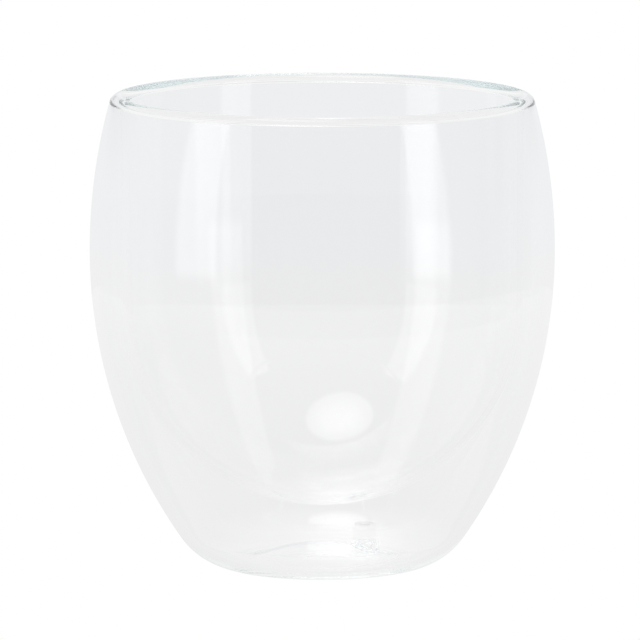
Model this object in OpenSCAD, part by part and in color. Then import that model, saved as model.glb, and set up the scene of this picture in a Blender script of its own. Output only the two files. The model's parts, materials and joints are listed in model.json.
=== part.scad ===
// Double walled glass cup without a handle.
// Two blown glasses, a barrel shaped shell outside and a round bottomed bowl inside, are fused at one rounded lip,
// so the bowl hangs in air. A silicone plug closes the vent in the domed base.
// All lengths are in millimetres. The cup stands on Z = 0 with its axis on Z.
// Every outline below is drawn in the half plane of radius and height, and then turned round the axis.

/* [Overall] */
// Height from the table to the top of the lip
cup_h = 90; // [86:1:100]
// Diameter at the widest place
max_d = 88; // [85:1:94]
// Height of the widest place above the table
waist_h = 60.4; // [54:0.2:66]

/* [Air gap] */
// Width of the gap between the two walls, at the widest place
gap_w = 4.7; // [4:0.1:6]
// Height of the gap between the dome of the base and the lowest point of the bowl
gap_h = 7.8; // [4:0.2:12]

/* [Lip] */
// Width of the rounded lip, from the mouth to the outside
lip_w = 3.4; // [3.2:0.1:4]
// Solid glass between the top of the lip and the rounded end of the gap below it
lip_solid_h = 1.5; // [1.4:0.1:2.4]
// Height of the fused part, from the top of the lip down to the two walls that it joins
lip_h = 4; // [3.6:0.2:8]

/* [Walls] */
// Thickness of the bowl's wall
bowl_wall = 1.2; // [1:0.1:1.6]
// Thickness of the shell's wall
shell_wall = 1.3; // [1:0.1:1.6]

/* [Base] */
// Outer diameter of the flat ring that the cup stands on
foot_d = 31.6; // [28:0.2:34]
// Width of that flat ring
foot_ring_w = 1.2; // [0.8:0.1:2.4]
// Radius of the shell's lower corner
foot_corner_r = 13.6; // [12:0.2:16]
// Rise of the dome that is pushed up under the base
kick_h = 3; // [2.2:0.1:3.4]
// Radius of the edge between the flat ring and that dome
kick_edge_r = 2; // [1:0.1:3]
// Glass over the flat ring, at the lowest place of the gap
base_t = 1.5; // [1.4:0.1:2.4]
// Glass at the middle of the dome
dome_t = 1.5; // [1.4:0.1:2.4]
// Radius of the gap's lower corner
gap_corner_r = 12; // [10:0.5:12.5]

/* [Vent] */
// Width of plain dome between the seat under the vent and the flat ring
vent_inset = 4.1; // [2.6:0.1:6]
// Direction of the vent from the axis, turned from the right towards the back
vent_angle = 15; // [0:1:360]
// Bore of the vent hole
vent_d = 3; // [2:0.1:3.2]
// Diameter of the glass collar round the vent, inside the gap
collar_d = 5.4; // [4.8:0.1:6]
// Least height of that collar above the dome
collar_rise = 0.3; // [0.2:0.1:0.8]
// Least depth of the round seat that is sunk under the vent
seat_depth = 0.2; // [0.1:0.1:0.3]

/* [Plug] */
// Diameter of the plug's head, inside the gap
plug_head_d = 4.4; // [4:0.1:4.6]
// Height of that head above the collar
plug_head_h = 3.6; // [2:0.1:4.2]
// Radius of the rounded edge on the head
plug_round_r = 0.5; // [0.3:0.1:0.8]
// Diameter of the dimple in the top of the head
plug_dimple_d = 2; // [1.4:0.1:2.4]
// Depth of that dimple
plug_dimple_depth = 0.7; // [0.4:0.1:1]
// Diameter of the plug's flange, under the base
plug_flange_d = 4; // [3.6:0.1:4.4]
// Thickness of that flange
plug_flange_t = 1; // [0.6:0.1:1.1]

/* [Hidden] */
$fn = 240;

// Overrun of a cutting shape past the surface that it cuts
overrun = 1;
// Overlap of two arcs that run into each other, so that their outlines cross and don't only touch
lap = 0.0001;
// Clearance between the plug's stem and the vent hole, all round
stem_clearance = 0.05;
// Clearance between the plug's flange and the wall of its seat, all round
flange_clearance = 0.15;
// Length of a side of a cutting polygon, as a share of the radius that it cuts through
reach_share = 2;

// Radius of an arc that stands upright at a point and is tangent to a round inside it
function upright_arc(point, centre, r) =
    (pow(point.x - centre.x, 2) + pow(point.y - centre.y, 2) - pow(r, 2)) / (2 * (point.x - centre.x - r));

// Height of a dome's surface at a distance from the axis
function dome_height(centre, r, x) = centre.y + sqrt(pow(r, 2) - pow(x, 2));

// Point past a target, on the line from a centre through that target
function beyond(centre, target, r) = centre + (target - centre) * reach_share * r / norm(target - centre);

// Mouth: the bore of the bowl is what the shell, the gap and the bowl's own wall leave at the widest place
bowl_r = max_d / 2 - shell_wall - gap_w;
mouth_r = bowl_r - bowl_wall;

// Lip: the crown is a full round between the mouth and the outside
crown_r = lip_w / 2;
crown = [mouth_r + crown_r, cup_h - crown_r];
seam_h = cup_h - lip_h;

// Outside of the shell: two arcs stand upright at the waist and run into the crown and the corner
waist = [max_d / 2, waist_h];
corner = [foot_d / 2, foot_corner_r];
upper_r = upright_arc(waist, crown, crown_r - lap);
lower_r = upright_arc(waist, corner, foot_corner_r - lap);

// Inside of the shell: the same two arcs, a wall further in, and a corner that runs into the lower one
inner_waist = waist - [shell_wall, 0];
inner_upper_r = upper_r - shell_wall;
inner_lower_r = lower_r - shell_wall;
inner_lower = inner_waist - [inner_lower_r, 0];
gap_corner_h = base_t + gap_corner_r;
gap_corner_reach = sqrt(pow(inner_lower_r - gap_corner_r + lap, 2) - pow(waist_h - gap_corner_h, 2));
gap_corner = [inner_lower.x + gap_corner_reach, gap_corner_h];

// Dome under the base: its rounded edge runs into the flat ring and into the dome
kick_edge = [corner.x - foot_ring_w, kick_edge_r - lap];
kick_r = (pow(kick_edge.x, 2) / kick_h + kick_h) / 2 - kick_edge.y;
kick = [0, kick_h - kick_r];

// Dome over the base: it runs into the corner of the gap
dome_top = kick_h + dome_t;
dome_fall = dome_top - gap_corner.y;
dome_corner_r = gap_corner_r - lap;
dome_r = (pow(gap_corner.x, 2) + pow(dome_fall, 2) - pow(dome_corner_r, 2)) / (2 * (dome_corner_r + dome_fall));
dome = [0, dome_top - dome_r];

// Bowl: a straight bore that ends in a half ball, which hangs over the dome
ball_h = dome_top + gap_h + bowl_r;

// Rounded top of the gap: it runs into the bowl and into the shell, at its own height below the lip
gap_top_h = cup_h - lip_solid_h;
gap_reach = bowl_r - inner_waist.x + inner_upper_r;
gap_rise = gap_top_h - waist_h;
gap_arc_r = inner_upper_r + lap;
gap_sum = gap_reach - gap_rise + gap_arc_r;
gap_top_r = sqrt(pow(gap_sum, 2) + pow(gap_arc_r, 2) - pow(gap_reach, 2) - pow(gap_rise, 2)) - gap_sum;
gap_top = [bowl_r + gap_top_r, gap_top_h - gap_top_r];

// Vent: its seat lies inside the flat ring, and the seat and the collar are measured from the two domes, at the side
// nearer to the axis
seat_d = plug_flange_d + 2 * flange_clearance;
vent_reach = kick_edge.x - vent_inset - seat_d / 2;
vent = vent_reach * [cos(vent_angle), sin(vent_angle)];
seat_h = dome_height(kick, kick_r, vent_reach - seat_d / 2) + seat_depth;
collar_h = dome_height(dome, dome_r, vent_reach - collar_d / 2) + collar_rise;
stem_d = vent_d - 2 * stem_clearance;

// Disc whose outermost point is given
module disc_from(point, r) {
    translate(point) translate([-r, 0]) circle(r);
}

// Right half of the plane between two heights, wide enough for the whole cup
module band(low, high) {
    translate([0, low]) square([max_d, high - low]);
}

// Solid outline below an arc's upright point, down to the round that the arc runs into and to some bottom points
module lower_part(point, r, centre, bottom) {
    far = beyond(point - [r, 0], centre, r);
    intersection() {
        disc_from(point, r);
        polygon(concat(bottom, [centre, far, [far.x, point.y], [0, point.y]]));
    }
}

// Solid outline between a straight bore and an arc above its upright point, closed by a full round
module round_top(bore_r, centre, r, point, arc_r, low) {
    far = beyond(point - [arc_r, 0], centre, arc_r);
    intersection() {
        disc_from(point, arc_r);
        polygon([[bore_r, low], [bore_r, centre.y], centre, far, [far.x, low]]);
    }
    intersection() {
        translate([bore_r, centre.y]) translate([r, 0]) circle(r);
        band(centre.y, centre.y + reach_share * r);
    }
}

// Solid outline of the shell's outside up to its seam, as if the base were flat
module shell_outside() {
    intersection() {
        disc_from(waist, upper_r);
        band(waist_h, seam_h);
    }
    lower_part(waist, lower_r, corner, [[0, 0], [corner.x, 0]]);
    intersection() {
        translate(corner) circle(foot_corner_r);
        translate([corner.x, 0]) square(foot_corner_r);
    }
}

// Solid outline of the shell's inside, past its seam
module shell_inside() {
    intersection() {
        disc_from(inner_waist, inner_upper_r);
        band(waist_h, seam_h + overrun);
    }
    difference() {
        union() {
            lower_part(inner_waist, inner_lower_r, gap_corner, [dome]);
            translate(gap_corner) circle(gap_corner_r);
        }
        translate(dome) circle(dome_r);
    }
}

// Air under the base, from below the table up to the pushed up dome
module kick_air() {
    difference() {
        intersection() {
            union() {
                translate(kick) circle(kick_r);
                polygon([kick, kick_edge, [kick_edge.x, kick.y]]);
            }
            band(-overrun, cup_h);
        }
        translate(kick_edge) circle(kick_edge_r);
    }
}

// Solid outline of a straight bore that ends in a half ball, up to a height
module bore_and_ball(r, top) {
    intersection() {
        translate([0, ball_h]) circle(r);
        translate([0, ball_h - r]) square(r);
    }
    translate([0, ball_h]) square([r, top - ball_h]);
}

// Outer glass: two arcs, a rounded corner, a flat ring to stand on and a domed base with its vent
module outer_shell() {
    color([0.90, 0.93, 0.94, 0.35])
    difference() {
        union() {
            rotate_extrude()
            difference() {
                shell_outside();
                shell_inside();
                kick_air();
            }
            vent_collar();
        }
        vent_hole();
    }
}

// Flat topped collar that the vent is pierced through
module vent_collar() {
    translate([vent.x, vent.y, seat_h]) cylinder(h = collar_h - seat_h, d = collar_d);
}

// Vent hole, with the round seat sunk under it
module vent_hole() {
    translate([vent.x, vent.y, -overrun]) {
        cylinder(h = collar_h + 2 * overrun, d = vent_d);
        cylinder(h = seat_h + overrun, d = seat_d);
    }
}

// Inner glass: a straight wall over a half ball
module inner_bowl() {
    color([0.90, 0.93, 0.94, 0.35])
    rotate_extrude()
    difference() {
        bore_and_ball(bowl_r, seam_h);
        bore_and_ball(mouth_r, seam_h + overrun);
    }
}

// Fused glass: a full round crown that both walls run up into, over the rounded top of the gap
module fused_lip() {
    color([0.80, 0.88, 0.88, 0.45])
    rotate_extrude()
    difference() {
        round_top(mouth_r, crown, crown_r, waist, upper_r, seam_h);
        round_top(bowl_r, gap_top, gap_top_r, inner_waist, inner_upper_r, seam_h - overrun);
    }
}

// Silicone plug: a dimpled head in the gap, a stem through the vent and a flange in the seat under it
module vent_plug() {
    head_r = plug_head_d / 2;
    head_top = collar_h + plug_head_h;
    flange_h = seat_h - plug_flange_t;
    color([0.86, 0.87, 0.88, 0.8])
    translate([vent.x, vent.y, 0])
    rotate_extrude()
    difference() {
        union() {
            translate([0, flange_h]) square([plug_flange_d / 2, plug_flange_t]);
            translate([0, flange_h]) square([stem_d / 2, head_top - plug_round_r - flange_h]);
            translate([0, collar_h]) square([head_r, plug_head_h - plug_round_r]);
            translate([0, collar_h]) square([head_r - plug_round_r, plug_head_h]);
            translate([head_r - plug_round_r, head_top - plug_round_r]) circle(plug_round_r);
        }
        translate([0, head_top - plug_dimple_depth]) square([plug_dimple_d / 2, plug_dimple_depth + overrun]);
    }
}

outer_shell();
inner_bowl();
fused_lip();
vent_plug();
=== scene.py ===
"""Double walled glass cup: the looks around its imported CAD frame, on a plain pale stage."""

import json
import math

import bmesh
import bpy
from mathutils import Matrix, Vector


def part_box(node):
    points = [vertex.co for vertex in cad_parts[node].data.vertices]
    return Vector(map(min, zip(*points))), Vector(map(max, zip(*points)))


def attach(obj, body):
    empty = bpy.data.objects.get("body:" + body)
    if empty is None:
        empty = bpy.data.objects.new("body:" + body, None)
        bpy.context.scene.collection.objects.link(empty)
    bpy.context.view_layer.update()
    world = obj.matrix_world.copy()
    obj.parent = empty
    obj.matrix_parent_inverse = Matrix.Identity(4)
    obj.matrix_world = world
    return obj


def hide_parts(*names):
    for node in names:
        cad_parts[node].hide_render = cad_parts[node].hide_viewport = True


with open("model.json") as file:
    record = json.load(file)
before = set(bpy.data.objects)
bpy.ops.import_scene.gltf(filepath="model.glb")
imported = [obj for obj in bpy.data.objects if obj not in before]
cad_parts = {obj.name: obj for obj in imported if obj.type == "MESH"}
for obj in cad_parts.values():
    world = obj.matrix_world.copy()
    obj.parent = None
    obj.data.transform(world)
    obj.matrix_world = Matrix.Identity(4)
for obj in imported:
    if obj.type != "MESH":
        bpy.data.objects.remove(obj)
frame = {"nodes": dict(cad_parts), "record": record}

bl_info = {
    "name": "Double Walled Glass Cup",
    "version": (1, 0, 0),
    "blender": (4, 5, 0),
    "location": "3D View > Sidebar > Glass Cup",
    "description": "Blown double walled glass cup with its silicone vent plug, and its stage",
    "category": "Add Mesh",
}

MM = 0.001
BODY = "root"

# Faces along each arc of the glass's two outlines, and round a rod.
DOME_STEPS = 12
EDGE_STEPS = 12
CORNER_STEPS = 28
LOWER_STEPS = 40
UPPER_STEPS = 28
LIP_STEPS = 48
BOWL_STEPS = 60
GAP_DOME_STEPS = 14
GAP_TOP_STEPS = 20
ROD_STEPS = 64

# Points nearer than the weld are one, a cut runs past a face by the overrun, and edges past the
# angle stay sharp.
WELD = 1e-7
OVERRUN = 1 * MM
SHARP_ANGLE = math.radians(30)

# Colours of the room's light: plain, and faintly blue as the photograph's greys are.
PLAIN = (1.0, 1.0, 1.0)
COOL = (0.99, 1.0, 1.015)

# The table: how far it lies under the cup, and the distance over which its brightness changes, from
# painted shade under the cup to its far edge.
FLOOR_DEPTH = 0.05 * MM
FLOOR_REACH = 0.36
FLOOR_STEPS = 128

# Two patches of painted light on the table, standing in for the light that the cup gathers onto it,
# each with its middle and its reach across and along the view.
PAINTED_POOL = (5.5 * MM, 15 * MM, 0), (12 * MM, 35 * MM, 1)
PAINTED_HALO = (3 * MM, 20 * MM, 0), (30 * MM, 60 * MM, 1)
PAINTED_PATCH_CORE = 0.3

# Points that the upright boxes and the lamp overhead stand round and shine on.
BOX_MIDDLE = (0, 0, 400 * MM)
CUP_MIDDLE = (0, 0, 45 * MM)

# Light passes many walls in the glass before it leaves it.
BOUNCES = 512
SENSOR_WIDTH = 36

SHELL_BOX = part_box("outer_shell")
BOWL_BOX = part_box("inner_bowl")
LIP_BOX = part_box("fused_lip")
PLUG_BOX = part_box("vent_plug")
MOUTH = next(m for m in frame["record"]["mounts"] if m["name"] == "mouth")


class GlassProfile(bpy.types.PropertyGroup):
    """Sizes of the blown glass, from the frame where it holds them"""

    height: bpy.props.FloatProperty(
        name="Height", description="Height from the table to the top of the lip",
        default=LIP_BOX[1].z, min=0.05, max=0.2, unit="LENGTH")
    width: bpy.props.FloatProperty(
        name="Width", description="Diameter at the widest place",
        default=SHELL_BOX[1].x - SHELL_BOX[0].x, min=0.05, max=0.2, unit="LENGTH")
    waist_height: bpy.props.FloatProperty(
        name="Waist Height", description="Height of the widest place above the table",
        default=60.4 * MM, min=0.02, max=0.15, unit="LENGTH")
    mouth: bpy.props.FloatProperty(
        name="Mouth", description="Bore of the mouth and of the straight part of the bowl",
        default=2 * MM * MOUTH["dims"]["r_mm"], min=0.03, max=0.15, unit="LENGTH")
    lip_width: bpy.props.FloatProperty(
        name="Lip Width", description="Width of the rounded lip",
        default=3.4 * MM, min=0.002, max=0.006, unit="LENGTH")
    lip_solid: bpy.props.FloatProperty(
        name="Lip Solid", description="Solid glass between the top of the lip and the gap",
        default=1.5 * MM, min=0.001, max=0.005, unit="LENGTH")
    bowl_wall: bpy.props.FloatProperty(
        name="Bowl Wall", description="Thickness of the bowl's wall",
        default=1.2 * MM, min=0.0008, max=0.003, unit="LENGTH")
    bowl_low: bpy.props.FloatProperty(
        name="Bowl Bottom", description="Height of the lowest point under the bowl",
        default=BOWL_BOX[0].z, min=0.005, max=0.05, unit="LENGTH")
    shell_wall: bpy.props.FloatProperty(
        name="Shell Wall", description="Thickness of the shell's wall",
        default=1.3 * MM, min=0.0008, max=0.003, unit="LENGTH")
    foot: bpy.props.FloatProperty(
        name="Foot", description="Outer diameter of the flat ring that the cup stands on",
        default=31.6 * MM, min=0.02, max=0.08, unit="LENGTH")
    foot_ring: bpy.props.FloatProperty(
        name="Foot Ring", description="Width of the flat ring",
        default=1.2 * MM, min=0.0005, max=0.006, unit="LENGTH")
    foot_corner: bpy.props.FloatProperty(
        name="Foot Corner", description="Radius of the shell's lower corner",
        default=13.6 * MM, min=0.005, max=0.03, unit="LENGTH")
    kick: bpy.props.FloatProperty(
        name="Push Up", description="Rise of the dome under the base",
        default=3 * MM, min=0.001, max=0.006, unit="LENGTH")
    kick_edge: bpy.props.FloatProperty(
        name="Push Up Edge", description="Radius between the flat ring and the dome under the base",
        default=2 * MM, min=0.0005, max=0.005, unit="LENGTH")
    dome_wall: bpy.props.FloatProperty(
        name="Dome Wall", description="Glass at the middle of the base",
        default=1.5 * MM, min=0.001, max=0.005, unit="LENGTH")
    base_wall: bpy.props.FloatProperty(
        name="Base Wall", description="Glass over the flat ring",
        default=1.5 * MM, min=0.001, max=0.005, unit="LENGTH")
    gap_corner: bpy.props.FloatProperty(
        name="Gap Corner", description="Radius of the gap's lower corner",
        default=12 * MM, min=0.003, max=0.02, unit="LENGTH")
    vent: bpy.props.FloatProperty(
        name="Vent", description="Bore of the vent hole",
        default=3 * MM, min=0.001, max=0.005, unit="LENGTH")
    vent_seat: bpy.props.FloatProperty(
        name="Vent Seat", description="Diameter of the round seat under the vent",
        default=4.3 * MM, min=0.002, max=0.008, unit="LENGTH")
    vent_seat_height: bpy.props.FloatProperty(
        name="Vent Seat Height", description="Height of that seat's ceiling above the table",
        default=2.65 * MM, min=0.001, max=0.005, unit="LENGTH")
    vent_collar: bpy.props.FloatProperty(
        name="Vent Collar", description="Diameter of the collar round the vent",
        default=5.4 * MM, min=0.002, max=0.008, unit="LENGTH")
    vent_collar_height: bpy.props.FloatProperty(
        name="Vent Collar Height", description="Height of that collar's top above the table",
        default=4.31 * MM, min=0.002, max=0.01, unit="LENGTH")
    steps_round: bpy.props.IntProperty(
        name="Steps Round", description="Faces round the cup",
        default=192, min=48, max=256)


class GlassFinish(bpy.types.PropertyGroup):
    """Look of the blown borosilicate glass"""

    ior: bpy.props.FloatProperty(
        name="Index of Refraction", description="How strongly the glass bends light",
        default=1.47, min=1.0, max=2.0)
    tint: bpy.props.FloatVectorProperty(
        name="Depth Colour", description="Colour that deep glass takes on",
        subtype="COLOR", size=3, default=(0.52, 0.73, 0.75), min=0, max=1)
    tint_density: bpy.props.FloatProperty(
        name="Depth Density", description="How fast the colour deepens, per metre",
        default=1.1, min=0, max=500)
    wave_size: bpy.props.FloatProperty(
        name="Wave Size", description="Waves per metre in the blown surface",
        default=28.0, min=1, max=500)
    wave_height: bpy.props.FloatProperty(
        name="Wave Height", description="Height of the waves in the blown surface",
        default=0.01 * MM, min=0, max=0.001, unit="LENGTH")


class PlugFinish(bpy.types.PropertyGroup):
    """Look of the silicone plug"""

    colour: bpy.props.FloatVectorProperty(
        name="Colour", description="Colour of the silicone",
        subtype="COLOR", size=3, default=(0.90, 0.91, 0.92), min=0, max=1)
    roughness: bpy.props.FloatProperty(
        name="Roughness", description="Dullness of the silicone",
        subtype="FACTOR", default=0.3, min=0, max=1)
    body_alpha: bpy.props.FloatProperty(
        name="Body Cover", description="How much of what lies behind it the plug's body hides",
        subtype="FACTOR", default=0.03, min=0, max=1)
    # Painted edge shade: the head's rim hides more than the body, so it shows as a darker arc.
    rim_shade_alpha: bpy.props.FloatProperty(
        name="Rim Cover", description="How much of what lies behind it the head's rim hides",
        subtype="FACTOR", default=0.15, min=0, max=1)
    rim_depth: bpy.props.FloatProperty(
        name="Rim Depth", description="Height over which the body's cover turns into the rim's",
        default=0.3 * MM, min=0.0001, max=0.002, unit="LENGTH")
    ior: bpy.props.FloatProperty(
        name="Index of Refraction", description="How strongly the silicone reflects light",
        default=1.41, min=1.0, max=2.0)
    cloud_scale: bpy.props.FloatProperty(
        name="Cloud Scale", description="Clouds per metre in the silicone",
        default=900, min=1, max=5000)
    cloud_contrast: bpy.props.FloatProperty(
        name="Cloud Contrast", description="Share by which the clouds change the colour",
        subtype="FACTOR", default=0.1, min=0, max=1)


class StudioSettings(bpy.types.PropertyGroup):
    """Stage, lights and camera. The levels are what the glass sees: the camera sees plain white"""

    view_distance: bpy.props.FloatProperty(
        name="Camera Distance", description="Distance from the camera to the cup's middle",
        default=1.5, min=0.3, max=5, unit="LENGTH")
    view_height: bpy.props.FloatProperty(
        name="Camera Elevation", description="Angle of the view above the horizon",
        default=math.radians(7.9), min=-1.5, max=1.5, unit="ROTATION")
    view_aim: bpy.props.FloatVectorProperty(
        name="Camera Aim", description="Point in the middle of the picture",
        default=(-0.43 * MM, 0, 47.05 * MM), unit="LENGTH")
    lens: bpy.props.FloatProperty(
        name="Lens", description="Focal length in millimetres",
        default=445.3, min=20, max=1000)
    floor_radius: bpy.props.FloatProperty(
        name="Floor Radius", description="Radius of the round table top",
        default=0.31, min=0.1, max=5, unit="LENGTH")
    floor_back: bpy.props.FloatProperty(
        name="Floor Shift", description="How far behind the cup the middle of the table top lies",
        default=0.057, min=0, max=1, unit="LENGTH")
    # Painted shade: the table glows dimmer under the cup than at its far edge.
    floor_shaded_near_light: bpy.props.FloatProperty(
        name="Near Floor Brightness", description="Brightness of the table under the cup",
        default=0.847, min=0, max=5)
    floor_far_light: bpy.props.FloatProperty(
        name="Far Floor Brightness", description="Brightness of the table at its far edge",
        default=0.902, min=0, max=5)
    # Painted light: a brighter pool on the table where the cup gathers light.
    painted_pool_light: bpy.props.FloatProperty(
        name="Pool Brightness", description="Extra brightness where the cup gathers light",
        default=0.06, min=0, max=5)
    # Painted light: a wider, fainter pool round the first.
    painted_halo_light: bpy.props.FloatProperty(
        name="Halo Brightness", description="Extra brightness in a wider patch round that place",
        default=0.06, min=0, max=5)
    back_light: bpy.props.FloatProperty(
        name="Backdrop Brightness", description="Brightness behind the cup",
        default=0.875, min=0, max=5)
    back_band_light: bpy.props.FloatProperty(
        name="Backdrop Band Brightness", description="Brightness behind the cup at both sides",
        default=0.80, min=0, max=5)
    back_high_light: bpy.props.FloatProperty(
        name="High Backdrop Brightness", description="Brightness behind the cup, higher up",
        default=0.93, min=0, max=5)
    front_light: bpy.props.FloatProperty(
        name="Front Brightness", description="Brightness in front of the cup",
        default=0.67, min=0, max=5)
    front_high_light: bpy.props.FloatProperty(
        name="High Front Brightness", description="Brightness in front of the cup, higher up",
        default=0.78, min=0, max=5)
    left_light: bpy.props.FloatProperty(
        name="Left Brightness", description="Brightness to the left of the cup",
        default=0.90, min=0, max=5)
    right_light: bpy.props.FloatProperty(
        name="Right Brightness", description="Brightness to the right of the cup",
        default=0.71, min=0, max=5)
    high_light: bpy.props.FloatProperty(
        name="Ceiling Brightness", description="Brightness high above the cup",
        default=0.70, min=0, max=5)
    left_box_level: bpy.props.FloatProperty(
        name="Left Box Level", description="Brightness of the box that makes the left streak",
        default=0.75, min=0, max=5)
    right_box_level: bpy.props.FloatProperty(
        name="Right Box Level", description="Brightness of the box that makes the right streak",
        default=0.72, min=0, max=5)
    top_lamp_level: bpy.props.FloatProperty(
        name="Top Lamp Level", description="Brightness of the lamp that makes the round highlight",
        default=1.75, min=0, max=5)


class CupSettings(bpy.types.PropertyGroup):
    """Everything about the cup that can be set"""

    profile: bpy.props.PointerProperty(type=GlassProfile)
    glass: bpy.props.PointerProperty(type=GlassFinish)
    plug: bpy.props.PointerProperty(type=PlugFinish)
    studio: bpy.props.PointerProperty(type=StudioSettings)


def upright_arc(point, centre, radius):
    """Radius of an arc that stands upright at a point and is tangent to a round inside it."""
    over, up = point[0] - centre[0], point[1] - centre[1]
    return (over ** 2 + up ** 2 - radius ** 2) / (2 * (over - radius))


def bearing(start, end):
    """Angle in degrees of the line from one point of the outline to another."""
    return math.degrees(math.atan2(end[1] - start[1], end[0] - start[0]))


def arc(centre, radius, start, end, steps):
    """Points along an arc of the outline, from one angle in degrees to another."""
    turn = [math.radians(start + (end - start) * i / steps) for i in range(steps + 1)]
    return [(centre[0] + radius * math.cos(a), centre[1] + radius * math.sin(a)) for a in turn]


def shell_arcs(p):
    """Centre and radius of each round and long arc of the shell's outside, from the foot up."""
    crown_r = p.lip_width / 2
    crown = (p.mouth / 2 + crown_r, p.height - crown_r)
    corner = (p.foot / 2, p.foot_corner)
    waist = (p.width / 2, p.waist_height)
    upper_r = upright_arc(waist, crown, crown_r)
    lower_r = upright_arc(waist, corner, p.foot_corner)
    upper = (waist[0] - upper_r, waist[1])
    lower = (waist[0] - lower_r, waist[1])
    return (corner, p.foot_corner), (lower, lower_r), (upper, upper_r), (crown, crown_r)


def outer_outline(p):
    """Outline against the outer air: under the base, up the shell, over the lip, down the bowl."""
    (corner, corner_r), (lower, lower_r), (upper, upper_r), (crown, crown_r) = shell_arcs(p)
    mouth_r = p.mouth / 2
    edge = (corner[0] - p.foot_ring, p.kick_edge)
    kick_r = (edge[0] ** 2 / p.kick + p.kick) / 2 - p.kick_edge
    kick = (0, p.kick - kick_r)
    ball = (0, p.bowl_low + p.bowl_wall + mouth_r)
    rim_side = bearing(kick, edge)
    corner_side = bearing(lower, corner)
    crown_side = bearing(upper, crown)
    return (
        arc(kick, kick_r, 90, rim_side, DOME_STEPS)
        + arc(edge, p.kick_edge, rim_side + 180, 270, EDGE_STEPS)
        + arc(corner, corner_r, -90, corner_side, CORNER_STEPS)
        + arc(lower, lower_r, corner_side, 0, LOWER_STEPS)
        + arc(upper, upper_r, 0, crown_side, UPPER_STEPS)
        + arc(crown, crown_r, crown_side, 180, LIP_STEPS)
        + arc(ball, mouth_r, 0, -90, BOWL_STEPS)
    )


def gap_outline(p):
    """Outline of the trapped air: over the base, up the shell, round the top, down the bowl."""
    _, (lower, lower_r), (upper, upper_r), _ = shell_arcs(p)
    upper_r -= p.shell_wall
    lower_r -= p.shell_wall
    bowl_r = p.mouth / 2 + p.bowl_wall
    turn_h = p.base_wall + p.gap_corner
    reach = math.sqrt((lower_r - p.gap_corner) ** 2 - (p.waist_height - turn_h) ** 2)
    turn = (lower[0] + reach, turn_h)
    dome_top = p.kick + p.dome_wall
    fall = dome_top - turn[1]
    dome_r = (turn[0] ** 2 + fall ** 2 - p.gap_corner ** 2) / (2 * (p.gap_corner + fall))
    dome = (0, dome_top - dome_r)
    over = bowl_r - upper[0]
    rise = p.height - p.lip_solid - p.waist_height
    total = over - rise + upper_r
    top_r = math.sqrt(total ** 2 + upper_r ** 2 - over ** 2 - rise ** 2) - total
    top = (bowl_r + top_r, p.height - p.lip_solid - top_r)
    ball = (0, p.bowl_low + bowl_r)
    dome_side = bearing(dome, turn)
    turn_side = bearing(lower, turn)
    top_side = bearing(upper, top)
    return (
        arc(dome, dome_r, 90, dome_side, GAP_DOME_STEPS)
        + arc(turn, p.gap_corner, dome_side - 180, turn_side, CORNER_STEPS)
        + arc(lower, lower_r, turn_side, 0, LOWER_STEPS)
        + arc(upper, upper_r, 0, top_side, UPPER_STEPS)
        + arc(top, top_r, top_side, 180, GAP_TOP_STEPS)
        + arc(ball, bowl_r, 0, -90, BOWL_STEPS)
    )


def spun_skin(name, outline, steps, inward=False):
    """Closed surface that an outline, which starts and ends on the axis, sweeps in one turn."""
    bm = bmesh.new()
    chain = []
    for x, z in outline:
        spot = Vector((x, 0, z))
        if not chain or (spot - chain[-1].co).length > WELD:
            chain.append(bm.verts.new(spot))
    edges = [bm.edges.new(pair) for pair in zip(chain, chain[1:])]
    bmesh.ops.spin(
        bm, geom=chain + edges, cent=(0, 0, 0), axis=(0, 0, 1), dvec=(0, 0, 0),
        angle=2 * math.pi, steps=steps, use_merge=True, use_duplicate=False)
    bmesh.ops.remove_doubles(bm, verts=bm.verts, dist=WELD)
    bmesh.ops.recalc_face_normals(bm, faces=bm.faces)
    if inward:
        bmesh.ops.reverse_faces(bm, faces=bm.faces)
    for face in bm.faces:
        face.smooth = True
    mesh = bpy.data.meshes.new(name)
    bm.to_mesh(mesh)
    bm.free()
    return mesh


def joined(name, *meshes):
    """One new object from several meshes, linked to the scene."""
    bm = bmesh.new()
    for mesh in meshes:
        bm.from_mesh(mesh)
    whole = bpy.data.meshes.new(name)
    bm.to_mesh(whole)
    bm.free()
    obj = bpy.data.objects.new(name, whole)
    bpy.context.scene.collection.objects.link(obj)
    return obj


def upright_rod(name, centre, diameter, low, high):
    """Object with an upright closed cylinder between two heights."""
    bm = bmesh.new()
    bmesh.ops.create_cone(
        bm, cap_ends=True, cap_tris=False, segments=ROD_STEPS,
        radius1=diameter / 2, radius2=diameter / 2, depth=high - low,
        matrix=Matrix.Translation((centre.x, centre.y, (low + high) / 2)))
    mesh = bpy.data.meshes.new(name)
    bm.to_mesh(mesh)
    bm.free()
    obj = bpy.data.objects.new(name, mesh)
    bpy.context.scene.collection.objects.link(obj)
    return obj


def put_in_order(mesh):
    """Sorts a mesh's corners and faces by place, as an exact cut numbers them anew each run."""
    bm = bmesh.new()
    bm.from_mesh(mesh)
    for parts, place in (
            (bm.verts, lambda corner: tuple(corner.co)),
            (bm.faces, lambda face: sorted(corner.index for corner in face.verts))):
        rank = {part: i for i, part in enumerate(sorted(parts, key=place))}
        parts.sort(key=lambda part: rank[part])
        parts.index_update()
    bm.to_mesh(mesh)
    bm.free()


def combine(obj, *steps):
    """Joins rods to an object or cuts them out of it, in order, and leaves plain geometry."""
    for way, rod in steps:
        change = obj.modifiers.new(way.title(), "BOOLEAN")
        change.operation = way
        change.object = rod
        change.solver = "EXACT"
    graph = bpy.context.evaluated_depsgraph_get()
    mesh = bpy.data.meshes.new_from_object(obj.evaluated_get(graph))
    put_in_order(mesh)
    obj.modifiers.clear()
    obj.data = mesh
    for _, rod in steps:
        bpy.data.objects.remove(rod)


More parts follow.
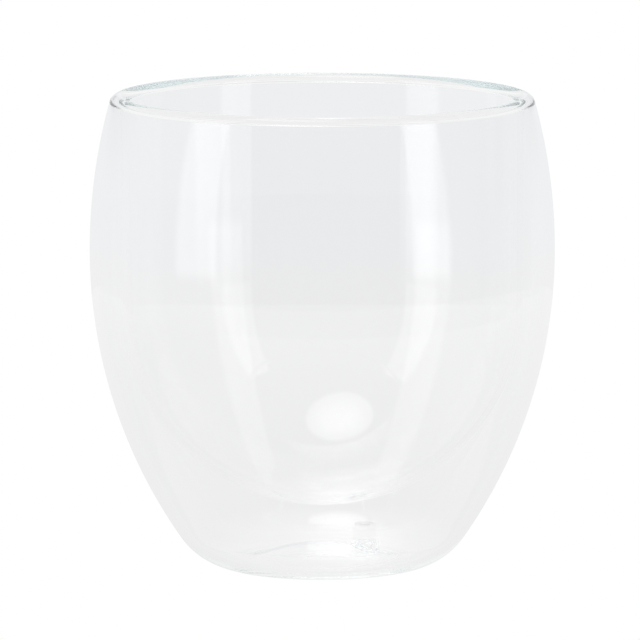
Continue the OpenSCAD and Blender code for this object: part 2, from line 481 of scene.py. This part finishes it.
def wave_group():
    """Group whose value rises and falls over the surface like the waves in blown glass."""
    name = "Blown Waves"
    if name in bpy.data.node_groups:
        return bpy.data.node_groups[name]
    group = bpy.data.node_groups.new(name, "ShaderNodeTree")
    face = group.interface
    size = face.new_socket(name="Size", in_out="INPUT", socket_type="NodeSocketFloat")
    size.default_value = 30
    stretch = face.new_socket(name="Stretch", in_out="INPUT", socket_type="NodeSocketFloat")
    stretch.default_value = 0.35
    face.new_socket(name="Height", in_out="OUTPUT", socket_type="NodeSocketFloat")
    nodes, links = group.nodes, group.links
    start = nodes.new("NodeGroupInput")
    place = nodes.new("ShaderNodeTexCoord")
    squash = nodes.new("ShaderNodeCombineXYZ")
    squash.inputs["X"].default_value = 1
    squash.inputs["Y"].default_value = 1
    scaled = nodes.new("ShaderNodeVectorMath")
    scaled.operation = "MULTIPLY"
    noise = nodes.new("ShaderNodeTexNoise")
    noise.inputs["Detail"].default_value = 1.5
    noise.inputs["Roughness"].default_value = 0.4
    end = nodes.new("NodeGroupOutput")
    links.new(start.outputs["Stretch"], squash.inputs["Z"])
    links.new(place.outputs["Object"], scaled.inputs[0])
    links.new(squash.outputs["Vector"], scaled.inputs[1])
    links.new(scaled.outputs["Vector"], noise.inputs["Vector"])
    links.new(start.outputs["Size"], noise.inputs["Scale"])
    links.new(noise.outputs["Fac"], end.inputs["Height"])
    return group


def ramp(nodes, links, value, start, end, low=0.0, high=1.0, smooth=True):
    """Output that runs from one level to another while a value runs from start to end."""
    step = nodes.new("ShaderNodeMapRange")
    step.interpolation_type = "SMOOTHSTEP" if smooth else "LINEAR"
    step.inputs["From Min"].default_value = start
    step.inputs["From Max"].default_value = end
    step.inputs["To Min"].default_value = low
    step.inputs["To Max"].default_value = high
    links.new(value, step.inputs["Value"])
    return step.outputs["Result"]


def product(nodes, links, first, second):
    """Output with the product of two values."""
    both = nodes.new("ShaderNodeMath")
    both.operation = "MULTIPLY"
    links.new(first, both.inputs[0])
    links.new(second, both.inputs[1])
    return both.outputs["Value"]


def empty_material(name):
    """New node material with only a Principled shader and an output, and those three."""
    material = bpy.data.materials.new(name)
    material.use_nodes = True
    nodes = material.node_tree.nodes
    nodes.clear()
    shader = nodes.new("ShaderNodeBsdfPrincipled")
    output = nodes.new("ShaderNodeOutputMaterial")
    material.node_tree.links.new(shader.outputs["BSDF"], output.inputs["Surface"])
    return material, shader, output


def glass_material(finish):
    """Clear blown glass that deepens to grey green where light runs far through it."""
    material, shader, output = empty_material("blown_glass")
    nodes, links = material.node_tree.nodes, material.node_tree.links
    shader.inputs["Base Color"].default_value = (1, 1, 1, 1)
    shader.inputs["Roughness"].default_value = 0
    shader.inputs["IOR"].default_value = finish.ior
    shader.inputs["Transmission Weight"].default_value = 1
    depth = nodes.new("ShaderNodeVolumeAbsorption")
    depth.inputs["Color"].default_value = (*finish.tint, 1)
    depth.inputs["Density"].default_value = finish.tint_density
    links.new(depth.outputs["Volume"], output.inputs["Volume"])
    if finish.wave_height > 0:
        waves = nodes.new("ShaderNodeGroup")
        waves.node_tree = wave_group()
        waves.inputs["Size"].default_value = finish.wave_size
        bump = nodes.new("ShaderNodeBump")
        bump.inputs["Strength"].default_value = 1
        bump.inputs["Distance"].default_value = finish.wave_height
        links.new(waves.outputs["Height"], bump.inputs["Height"])
        links.new(bump.outputs["Normal"], shader.inputs["Normal"])
    return material


def silicone_material(finish, rim_height):
    """Clear silicone with a satin skin and clouds in its tone, drawn more solid on the rim of its
    head so that the rim shows as a darker arc: painted edge shade.
    """
    material, shader, _ = empty_material("clear_silicone")
    nodes, links = material.node_tree.nodes, material.node_tree.links
    place = nodes.new("ShaderNodeTexCoord")
    sides = nodes.new("ShaderNodeSeparateXYZ")
    links.new(place.outputs["Object"], sides.inputs[0])
    clouds = nodes.new("ShaderNodeTexNoise")
    clouds.inputs["Scale"].default_value = finish.cloud_scale
    clouds.inputs["Detail"].default_value = 3
    links.new(place.outputs["Object"], clouds.inputs["Vector"])
    tone = nodes.new("ShaderNodeMix")
    tone.data_type = "RGBA"
    dark, light = 1 - finish.cloud_contrast, 1 + finish.cloud_contrast
    tone.inputs[6].default_value = (*(dark * c for c in finish.colour), 1)
    tone.inputs[7].default_value = (*(min(1, light * c) for c in finish.colour), 1)
    links.new(clouds.outputs["Fac"], tone.inputs[0])
    links.new(tone.outputs[2], shader.inputs["Base Color"])
    # Painted edge shade: the cover rises towards the top of the head, which draws its rim as a
    # darker arc.
    cover = ramp(
        nodes, links, sides.outputs["Z"], rim_height - finish.rim_depth, rim_height,
        finish.body_alpha, finish.rim_shade_alpha)
    links.new(cover, shader.inputs["Alpha"])
    shader.inputs["Roughness"].default_value = finish.roughness
    shader.inputs["IOR"].default_value = finish.ior
    return material


class GLASSCUP_OT_glass(bpy.types.Operator):
    """Blow the two glasses and the fused lip as one unbroken glass"""

    bl_idname = "glass_cup.glass"
    bl_label = "Add Cup Glass"

    def execute(self, context):
        cup = context.scene.glass_cup
        p = cup.profile
        outside = spun_skin("outside", outer_outline(p), p.steps_round)
        inside = spun_skin("inside", gap_outline(p), p.steps_round, inward=True)
        glass = joined("cup_glass", outside, inside)
        vent = (PLUG_BOX[0] + PLUG_BOX[1]) / 2
        seat, top = p.vent_seat_height, p.vent_collar_height
        combine(
            glass,
            ("UNION", upright_rod("collar", vent, p.vent_collar, seat, top)),
            ("DIFFERENCE", upright_rod("seat", vent, p.vent_seat, -OVERRUN, seat)),
            ("DIFFERENCE", upright_rod("bore", vent, p.vent, -OVERRUN, top + OVERRUN)))
        glass.data.set_sharp_from_angle(angle=SHARP_ANGLE)
        glass.data.materials.clear()
        glass.data.materials.append(glass_material(cup.glass))
        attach(glass, BODY)
        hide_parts("outer_shell", "inner_bowl", "fused_lip")
        return {"FINISHED"}


class GLASSCUP_OT_plug(bpy.types.Operator):
    """Give the vent plug its silicone"""

    bl_idname = "glass_cup.plug"
    bl_label = "Finish Vent Plug"

    def execute(self, context):
        plug = frame["nodes"]["vent_plug"]
        plug.data.materials.clear()
        plug.data.materials.append(silicone_material(context.scene.glass_cup.plug, PLUG_BOX[1].z))
        return {"FINISHED"}


def area_light(name, size, place, aim, brightness, overhead=False):
    """Light that shines on a point, which the glass reflects and the camera doesn't see.

    Its own up lies along the room's height, or along the room's depth for a light overhead.
    Returns its nodes, its links, the output with the place on its face, and its level's socket.
    """
    light = bpy.data.lights.new(name, "AREA")
    light.shape = "RECTANGLE"
    light.size, light.size_y = size
    light.energy = brightness * size[0] * size[1] * math.pi
    light.use_nodes = True
    nodes, links = light.node_tree.nodes, light.node_tree.links
    nodes.clear()
    face = nodes.new("ShaderNodeNewGeometry")
    glow = nodes.new("ShaderNodeEmission")
    output = nodes.new("ShaderNodeOutputLight")
    links.new(glow.outputs[0], output.inputs["Surface"])
    obj = bpy.data.objects.new(name, light)
    obj.location = place
    back = (Vector(place) - Vector(aim)).normalized()
    side = Vector((0, 1, 0) if overhead else (0, 0, 1)).cross(back).normalized()
    obj.rotation_mode = "QUATERNION"
    obj.rotation_quaternion = Matrix((side, back.cross(side), back)).transposed().to_quaternion()
    obj.visible_camera = False
    bpy.context.scene.collection.objects.link(obj)
    return nodes, links, face.outputs["Parametric"], glow.inputs["Strength"]


def softbox(name, size, place, aim, brightness, soft):
    """Oblong light. Soft gives the shares of its size over which its edges fade.

    They are its left, right, lower and upper edge, as seen from behind it.
    """
    nodes, links, spot, level = area_light(name, size, place, aim, brightness)
    sides = nodes.new("ShaderNodeSeparateXYZ")
    links.new(spot, sides.inputs[0])
    across = product(nodes, links, ramp(nodes, links, sides.outputs["X"], 0, soft[0]),
                     ramp(nodes, links, sides.outputs["X"], 1, 1 - soft[1]))
    along = product(nodes, links, ramp(nodes, links, sides.outputs["Y"], 0, soft[2]),
                    ramp(nodes, links, sides.outputs["Y"], 1, 1 - soft[3]))
    links.new(product(nodes, links, across, along), level)


def round_lamp(name, size, place, aim, brightness, edge):
    """Oval light overhead that falls to a share of its brightness at its edge."""
    # Shares of the face's width from its middle: where the fall starts, and where the rim fades.
    core, rim_start, rim_end = 0.1, 0.44, 0.5
    face_middle = (0.5, 0.5, 0)
    nodes, links, spot, level = area_light(name, size, place, aim, brightness, overhead=True)
    middle = nodes.new("ShaderNodeVectorMath")
    middle.operation = "DISTANCE"
    middle.inputs[1].default_value = face_middle
    links.new(spot, middle.inputs[0])
    away = middle.outputs["Value"]
    dome = ramp(nodes, links, away, core, rim_end, 1, edge)
    rim = ramp(nodes, links, away, rim_end, rim_start)
    links.new(product(nodes, links, dome, rim), level)


def around(azimuth, elevation, distance, centre):
    """Point at angles in degrees round a centre. Azimuth 0 is towards -Y, and grows towards +X."""
    a, e = math.radians(azimuth), math.radians(elevation)
    way = Vector((math.sin(a) * math.cos(e), -math.cos(a) * math.cos(e), math.sin(e)))
    return Vector(centre) + distance * way


def floor_material(studio):
    """Table top that the camera sees as pure white and the glass as a soft grey glow, clear from
    below. The glow is dimmer near the cup as painted shade, and has two pools of painted light.
    """
    material = bpy.data.materials.new("pale_floor")
    material.use_nodes = True
    nodes, links = material.node_tree.nodes, material.node_tree.links
    nodes.clear()
    seen = nodes.new("ShaderNodeLightPath")
    white = nodes.new("ShaderNodeEmission")
    grey = nodes.new("ShaderNodeEmission")
    place = nodes.new("ShaderNodeTexCoord")
    far = nodes.new("ShaderNodeVectorMath")
    far.operation = "LENGTH"
    links.new(place.outputs["Object"], far.inputs[0])
    # Painted shade: the glow is dimmest at the cup and brightens towards the far edge.
    level = ramp(
        nodes, links, far.outputs["Value"], 0, FLOOR_REACH,
        studio.floor_shaded_near_light, studio.floor_far_light, smooth=False)
    # Painted light: two brighter pools added to the glow where the cup gathers light.
    for (centre, reach), glow in ((PAINTED_POOL, studio.painted_pool_light), (PAINTED_HALO, studio.painted_halo_light)):
        middle = nodes.new("ShaderNodeVectorMath")
        middle.operation = "SUBTRACT"
        middle.inputs[1].default_value = centre
        squash = nodes.new("ShaderNodeVectorMath")
        squash.operation = "DIVIDE"
        squash.inputs[1].default_value = reach
        away = nodes.new("ShaderNodeVectorMath")
        away.operation = "LENGTH"
        both = nodes.new("ShaderNodeMath")
        links.new(place.outputs["Object"], middle.inputs[0])
        links.new(middle.outputs["Vector"], squash.inputs[0])
        links.new(squash.outputs["Vector"], away.inputs[0])
        links.new(level, both.inputs[0])
        links.new(ramp(nodes, links, away.outputs["Value"], 1, PAINTED_PATCH_CORE, 0, glow), both.inputs[1])
        level = both.outputs["Value"]
    links.new(level, grey.inputs["Strength"])
    under = nodes.new("ShaderNodeBsdfTransparent")
    side = nodes.new("ShaderNodeNewGeometry")
    top = nodes.new("ShaderNodeMixShader")
    whole = nodes.new("ShaderNodeMixShader")
    output = nodes.new("ShaderNodeOutputMaterial")
    links.new(seen.outputs["Is Camera Ray"], top.inputs[0])
    links.new(grey.outputs[0], top.inputs[1])
    links.new(white.outputs[0], top.inputs[2])
    links.new(side.outputs["Backfacing"], whole.inputs[0])
    links.new(top.outputs[0], whole.inputs[1])
    links.new(under.outputs[0], whole.inputs[2])
    links.new(whole.outputs[0], output.inputs["Surface"])
    return material


def make_floor(studio):
    """Round pale table top, just under the cup."""
    bm = bmesh.new()
    bmesh.ops.create_circle(bm, cap_ends=True, segments=FLOOR_STEPS, radius=studio.floor_radius)
    mesh = bpy.data.meshes.new("floor")
    bm.to_mesh(mesh)
    bm.free()
    mesh.transform(Matrix.Translation((0, studio.floor_back, -FLOOR_DEPTH)))
    mesh.materials.append(floor_material(studio))
    floor = bpy.data.objects.new("floor", mesh)
    bpy.context.scene.collection.objects.link(floor)


def make_world(studio):
    """Pale room in soft bands by direction, which the glass sees. The camera sees plain white.

    Each pair of numbers is where one band fades into the next, as parts of the unit direction:
    rise is the upward part, to_back the part away from the viewer, to_right the part to the
    right, and aside the part to either side.
    """
    world = bpy.data.worlds.new("studio")
    bpy.context.scene.world = world
    world.use_nodes = True
    nodes, links = world.node_tree.nodes, world.node_tree.links
    nodes.clear()
    place = nodes.new("ShaderNodeTexCoord")
    axes = nodes.new("ShaderNodeSeparateXYZ")
    links.new(place.outputs["Generated"], axes.inputs[0])

    def mix(factor, low, high):
        part = nodes.new("ShaderNodeMix")
        part.data_type = "RGBA"
        links.new(factor, part.inputs[0])
        for socket, colour in ((part.inputs[6], low), (part.inputs[7], high)):
            if isinstance(colour, tuple):
                socket.default_value = (*colour, 1)
            else:
                links.new(colour, socket)
        return part.outputs[2]

    def fade(part, start, end):
        return ramp(nodes, links, part, start, end)

    def shade(level, colour=COOL):
        return tuple(level * c for c in colour)

    sideways = nodes.new("ShaderNodeMath")
    sideways.operation = "ABSOLUTE"
    links.new(axes.outputs["X"], sideways.inputs[0])
    to_right, to_back, rise = axes.outputs["X"], axes.outputs["Y"], axes.outputs["Z"]
    aside = sideways.outputs["Value"]
    back_high = shade(studio.back_high_light, PLAIN)
    low_back, mid_back = shade(studio.back_light, PLAIN), shade(studio.back_light)
    back = mix(fade(rise, -0.134, -0.119), low_back, mid_back)
    band = product(nodes, links, fade(rise, -0.05, 0.05), fade(aside, 0.02, 0.08))
    back = mix(band, back, shade(studio.back_band_light))
    back = mix(fade(rise, 0.15, 0.18), back, back_high)
    front = mix(fade(rise, 0.2, 0.5), shade(studio.front_light), shade(studio.front_high_light))
    level = mix(fade(to_back, -0.3, 0.4), front, back)
    flank = mix(fade(to_right, -0.3, 0.3), shade(studio.left_light), shade(studio.right_light))
    level = mix(fade(aside, 0.7, 0.97), level, flank)
    ceiling = mix(fade(to_back, 0.3, 0.5), shade(studio.high_light), back_high)
    whole = mix(fade(rise, 0.6, 0.85), level, ceiling)
    lit = nodes.new("ShaderNodeBackground")
    links.new(whole, lit.inputs["Color"])
    white = nodes.new("ShaderNodeBackground")
    white.inputs["Color"].default_value = (1, 1, 1, 1)
    seen = nodes.new("ShaderNodeLightPath")
    choice = nodes.new("ShaderNodeMixShader")
    output = nodes.new("ShaderNodeOutputWorld")
    links.new(seen.outputs["Is Camera Ray"], choice.inputs[0])
    links.new(lit.outputs[0], choice.inputs[1])
    links.new(white.outputs[0], choice.inputs[2])
    links.new(choice.outputs[0], output.inputs["Surface"])


def make_camera(studio):
    """Camera at the photograph's viewing angle."""
    data = bpy.data.cameras.new("camera")
    data.sensor_width = SENSOR_WIDTH
    data.lens = studio.lens
    camera = bpy.data.objects.new("camera", data)
    aim = Vector(studio.view_aim)
    e = studio.view_height
    camera.location = aim + studio.view_distance * Vector((0, -math.cos(e), math.sin(e)))
    camera.rotation_mode = "QUATERNION"
    camera.rotation_quaternion = (aim - camera.location).to_track_quat("-Z", "Y")
    bpy.context.scene.collection.objects.link(camera)
    bpy.context.scene.camera = camera


def make_lights(studio):
    """Two upright boxes for the streaks and a lamp overhead for the round highlight."""
    softbox(
        "left_box", size=(0.35, 0.94), soft=(0.15, 0.03, 0.05, 0.03),
        place=around(azimuth=-65, elevation=0, distance=0.8, centre=BOX_MIDDLE),
        aim=BOX_MIDDLE, brightness=studio.left_box_level)
    softbox(
        "right_box", size=(0.31, 0.94), soft=(0.04, 0.15, 0.05, 0.03),
        place=around(azimuth=55, elevation=0, distance=0.8, centre=BOX_MIDDLE),
        aim=BOX_MIDDLE, brightness=studio.right_box_level)
    round_lamp(
        "top_lamp", size=(0.48, 0.54), edge=0.5,
        place=around(azimuth=-50, elevation=79, distance=0.78, centre=CUP_MIDDLE),
        aim=CUP_MIDDLE, brightness=studio.top_lamp_level)


class GLASSCUP_OT_stage(bpy.types.Operator):
    """Set up the floor, the room, the lights and the camera"""

    bl_idname = "glass_cup.stage"
    bl_label = "Add Stage"

    def execute(self, context):
        studio = context.scene.glass_cup.studio
        make_floor(studio)
        make_world(studio)
        make_lights(studio)
        make_camera(studio)
        context.scene.view_settings.view_transform = "Standard"
        cycles = context.scene.cycles
        cycles.max_bounces = BOUNCES
        cycles.transmission_bounces = BOUNCES
        cycles.glossy_bounces = BOUNCES
        return {"FINISHED"}


class GLASSCUP_PT_panel(bpy.types.Panel):
    """Pieces of the cup and its stage"""

    bl_label = "Glass Cup"
    bl_idname = "GLASSCUP_PT_panel"
    bl_space_type = "VIEW_3D"
    bl_region_type = "UI"
    bl_category = "Glass Cup"

    def draw(self, context):
        layout = self.layout
        for operator in OPERATORS:
            layout.operator(operator.bl_idname)
        cup = context.scene.glass_cup
        for group in (cup.profile, cup.glass, cup.plug, cup.studio):
            box = layout.box()
            for name in group.__annotations__:
                box.prop(group, name)


OPERATORS = (GLASSCUP_OT_glass, GLASSCUP_OT_plug, GLASSCUP_OT_stage)
SETTINGS = (GlassProfile, GlassFinish, PlugFinish, StudioSettings, CupSettings)
CLASSES = (*SETTINGS, *OPERATORS, GLASSCUP_PT_panel)


def register():
    for cls in CLASSES:
        bpy.utils.register_class(cls)
    bpy.types.Scene.glass_cup = bpy.props.PointerProperty(type=CupSettings)


def unregister():
    del bpy.types.Scene.glass_cup
    for cls in reversed(CLASSES):
        bpy.utils.unregister_class(cls)


def main():
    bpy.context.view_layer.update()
    register()
    bpy.ops.glass_cup.glass()
    bpy.ops.glass_cup.plug()
    bpy.ops.glass_cup.stage()


if __name__ == "__main__":
    main()
